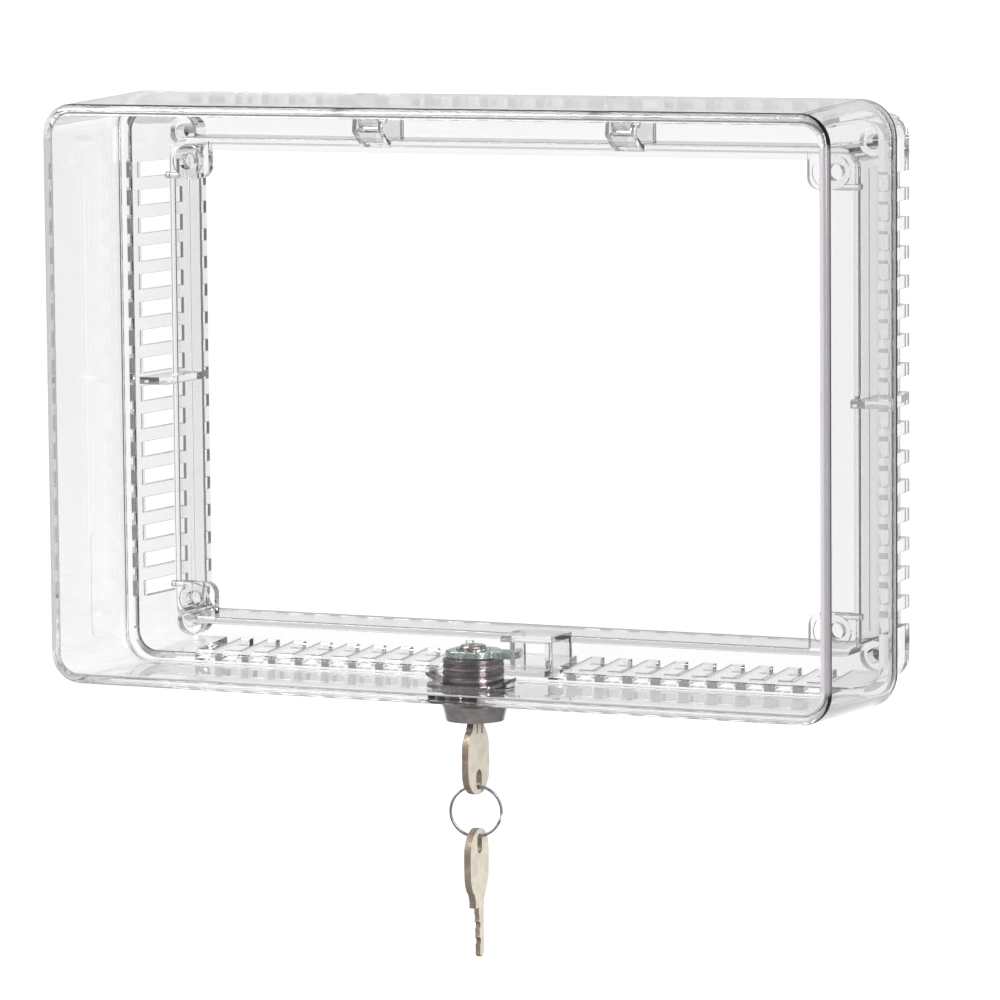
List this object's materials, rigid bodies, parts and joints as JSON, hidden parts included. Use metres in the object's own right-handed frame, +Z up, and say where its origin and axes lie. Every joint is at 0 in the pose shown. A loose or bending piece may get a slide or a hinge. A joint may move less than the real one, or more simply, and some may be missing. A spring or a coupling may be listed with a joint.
{
  "type": "thermostat lock box",
  "caption": "Clear wall guard for a thermostat: slotted mounting ring, swing-up cover on hook hinges, key-operated cam lock, keys on a split ring.",
  "frame": {"origin": "centre of the four wall-screw holes, on the wall plane", "axes": "+Y into the wall, +Z up, +X to the right of someone facing the cover"},
  "size_m": [0.252, 0.076, 0.2537],
  "materials": {
    "clear_cover": "clear polycarbonate, polished",
    "clear_ring": "clear polycarbonate, polished",
    "lock_body": "dark nickel on die-cast zinc",
    "lock_plug": "nickel on die-cast zinc",
    "spring_steel": "spring steel, oiled",
    "brass_wafer": "stamped brass",
    "zinc_plate": "bright zinc plate",
    "nickel_key": "worn nickel plate on brass",
    "ring_wire": "bright nickel steel wire"
  },
  "bodies": {
    "base": {"base_ring": "clear_ring"},
    "cover": {"cover": "clear_cover", "lock_housing": "lock_body", "lock_clip": "spring_steel"},
    "plug": {"lock_plug": "lock_plug", "cam": "zinc_plate", "cam_washer": "zinc_plate", "cam_screw": "zinc_plate", "wafer_spring_1": "spring_steel", "wafer_spring_2": "spring_steel", "wafer_spring_3": "spring_steel", "wafer_spring_4": "spring_steel", "wafer_spring_5": "spring_steel"},
    "wafers": {"wafer_1": "brass_wafer", "wafer_2": "brass_wafer", "wafer_3": "brass_wafer", "wafer_4": "brass_wafer", "wafer_5": "brass_wafer"},
    "key": {"key": "nickel_key"},
    "ring": {"split_ring": "ring_wire"},
    "spare_key": {"spare_key": "nickel_key"}
  },
  "joints": [
    {"name": "cover_hinge", "type": "hinge", "parent": "base", "child": "cover", "pos_m": [0, -0.023, 0.08], "axis": [-1, 0, 0], "range_deg": [0, 70]},
    {"name": "lock_turn", "type": "hinge", "parent": "cover", "child": "plug", "pos_m": [0.0003, -0.044, -0.08], "axis": [0, 0, 1], "range_deg": [0, 90]},
    {"name": "key_slide", "type": "slide", "parent": "plug", "child": "key", "axis": [0, 0, -1], "range_m": [0, 0.022]},
    {"name": "wafer_lift", "type": "slide", "parent": "plug", "child": "wafers", "axis": [0, 1, 0], "range_m": [0, 0.00081]},
    {"name": "ring_swing", "type": "hinge", "parent": "key", "child": "ring", "pos_m": [0.0003, -0.044, -0.1146], "axis": [0.9397, 0.342, 0], "range_deg": [-75, 75]},
    {"name": "spare_swing", "type": "hinge", "parent": "ring", "child": "spare_key", "pos_m": [0.0003, -0.044, -0.1296], "axis": [0.9397, 0.342, 0], "range_deg": [-50, 50]}
  ],
  "couplings": [
    {"joint": "wafer_lift", "follows": "key_slide", "ratio": 0.036364}
  ]
}
